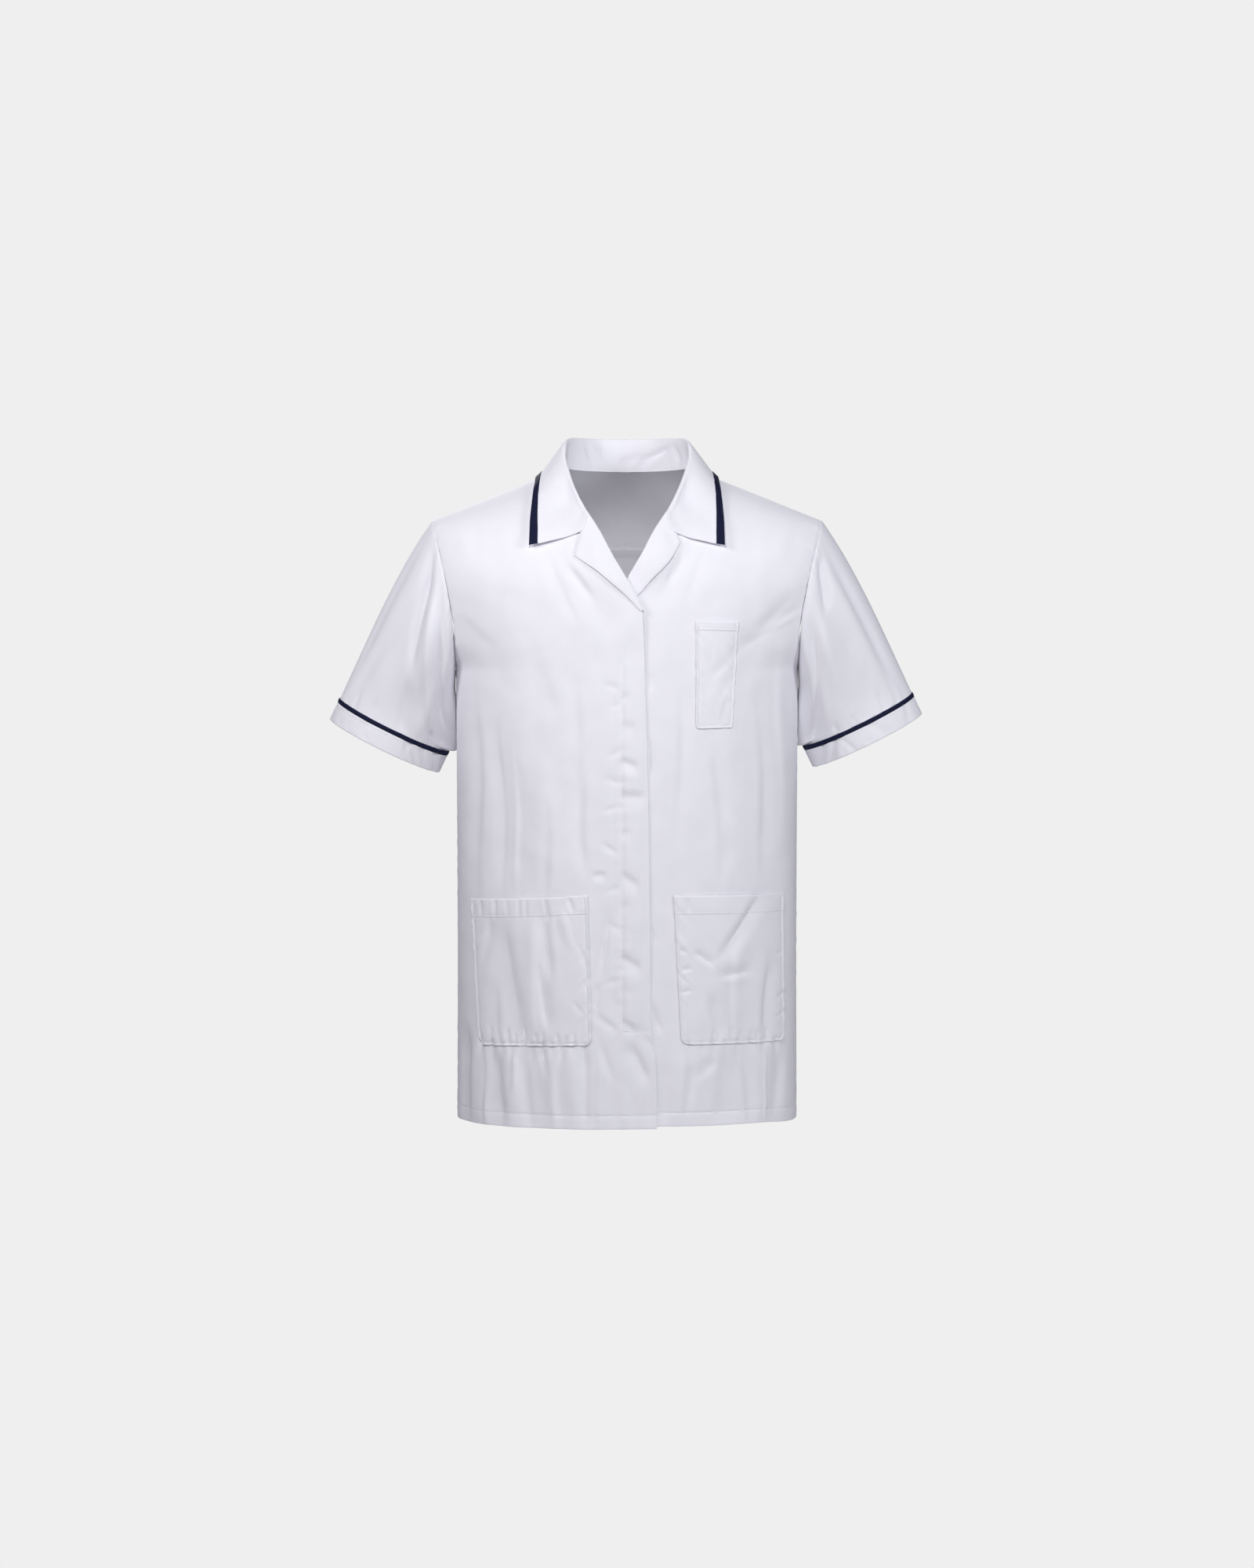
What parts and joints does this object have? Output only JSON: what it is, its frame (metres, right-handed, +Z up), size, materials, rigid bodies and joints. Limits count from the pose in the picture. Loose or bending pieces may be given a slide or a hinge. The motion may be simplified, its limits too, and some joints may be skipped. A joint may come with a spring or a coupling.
{
  "type": "medical tunic",
  "caption": "Hollow worn form of a white short-sleeved medical tunic with a notched convertible collar, concealed front, hip pockets, a pen pocket and navy trim.",
  "frame": {"origin": "middle of the neck, level with the shoulder neck points, where a wearer's neck and shoulders hold the tunic up", "axes": "+Z up, the front faces -Y, +X towards the wearer's left side"},
  "size_m": [0.6866, 0.2495, 0.7799],
  "materials": {
    "white_cloth": "matte",
    "navy_cloth": "matte"
  },
  "bodies": {
    "root": {"back_panel": "white_cloth", "back_yoke": "white_cloth", "collar": "white_cloth", "collar_tape": "navy_cloth", "cuff_left": "white_cloth", "cuff_right": "white_cloth", "front_left": "white_cloth", "front_right": "white_cloth", "lapel_left": "white_cloth", "lapel_right": "white_cloth", "piping_left": "navy_cloth", "piping_right": "navy_cloth", "pocket_chest": "white_cloth", "pocket_left": "white_cloth", "pocket_right": "white_cloth", "sleeve_left": "white_cloth", "sleeve_right": "white_cloth"}
  },
  "joints": []
}
